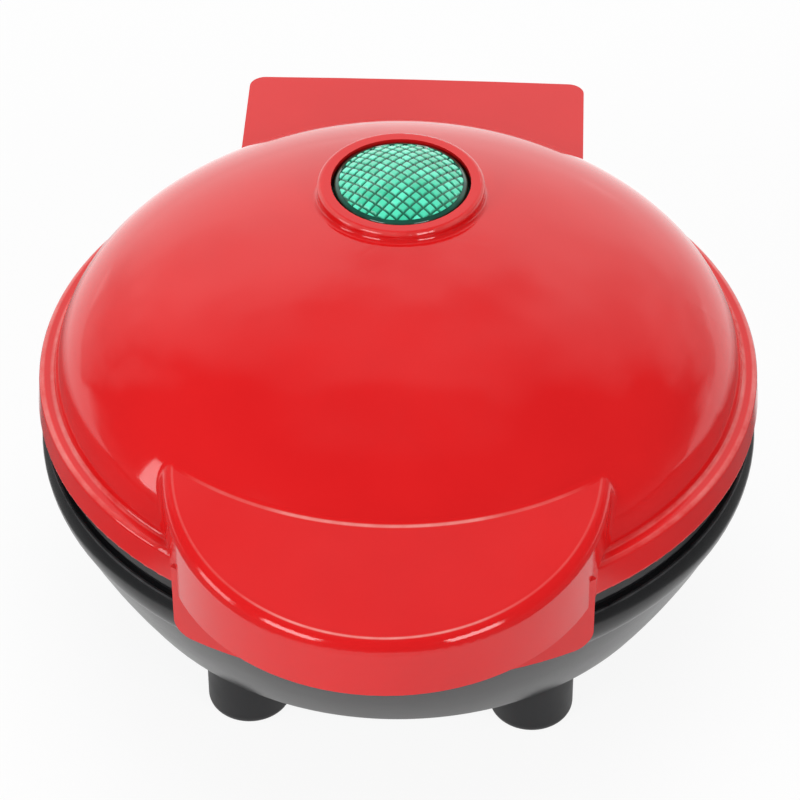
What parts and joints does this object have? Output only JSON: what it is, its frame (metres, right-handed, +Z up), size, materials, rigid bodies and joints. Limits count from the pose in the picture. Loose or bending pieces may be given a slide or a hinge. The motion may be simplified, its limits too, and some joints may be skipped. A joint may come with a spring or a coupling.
{
  "type": "clamshell snack maker",
  "caption": "Small round countertop snack maker: hinged red domed lid with front handle and green indicator, black bowl-shaped base on feet, two ribbed cooking plates.",
  "frame": {"origin": "on the surface that the feet stand on, at the middle of the whole part's footprint", "axes": "+Z up, handle towards -Y, hinge towards +Y, hinge line along X"},
  "size_m": [0.1268, 0.1576, 0.083],
  "materials": {
    "lid_plastic": "glossy moulded red plastic",
    "base_plastic": "glossy moulded black plastic",
    "rim_plastic": "satin black plastic",
    "frame_plastic": "heat-resistant matte black plastic",
    "plate_coating": "dark non-stick coating on cast aluminium",
    "element_steel": "drawn steel sheath, heat tinted",
    "insulator_ceramic": "unglazed steatite",
    "pan_steel": "pressed zinc-plated sheet",
    "screw_steel": "zinc plated",
    "brass_parts": "plain brass",
    "lens_plastic": "translucent green plastic",
    "holder_plastic": "natural heat-resistant plastic",
    "lamp_glass": "clear glass bulb",
    "foot_plastic": "satin black plastic",
    "pin_steel": "ground steel",
    "gland_plastic": "black nylon",
    "fuse_metal": "tinned case",
    "sleeve_fabric": "woven glass fibre",
    "block_plastic": "natural nylon",
    "lead_rubber": "silicone sleeve",
    "wire_rubber": "silicone insulation"
  },
  "bodies": {
    "base": {"base_shell": "base_plastic", "base_rim": "rim_plastic", "lower_plate": "plate_coating", "lower_heating_element": "element_steel", "lower_element_insulators": "insulator_ceramic", "lower_reflector": "pan_steel", "base_screws": "screw_steel", "foot_screws": "screw_steel", "thermostat_screws": "screw_steel", "fuse_clip_screw": "screw_steel", "terminal_block_screws": "screw_steel", "earth_screw": "brass_parts", "foot_front_left": "foot_plastic", "foot_front_right": "foot_plastic", "foot_rear_left": "foot_plastic", "foot_rear_right": "foot_plastic", "hinge_pin": "pin_steel", "pin_clips": "pin_steel", "cord_gland": "gland_plastic", "thermostat": "insulator_ceramic", "thermostat_bracket": "pan_steel", "thermal_fuse": "fuse_metal", "fuse_sleeve": "sleeve_fabric", "fuse_clip": "pan_steel", "terminal_block": "block_plastic", "earth_terminal": "brass_parts", "base_lead": "lead_rubber", "element_wires": "wire_rubber"},
    "lid": {"lid_shell": "lid_plastic", "lid_frame": "frame_plastic", "upper_plate": "plate_coating", "upper_heating_element": "element_steel", "upper_element_insulators": "insulator_ceramic", "upper_reflector": "pan_steel", "upper_plate_screws": "screw_steel", "upper_reflector_screws": "screw_steel", "indicator_lens": "lens_plastic", "lens_retainer": "frame_plastic", "lamp_holder": "holder_plastic", "neon_lamp": "lamp_glass", "lid_lead": "lead_rubber"}
  },
  "joints": [
    {"name": "lid_hinge", "type": "hinge", "parent": "base", "child": "lid", "pos_m": [0, 0.068, 0.0445], "axis": [-1, 0, 0], "range_deg": [0, 100]}
  ]
}
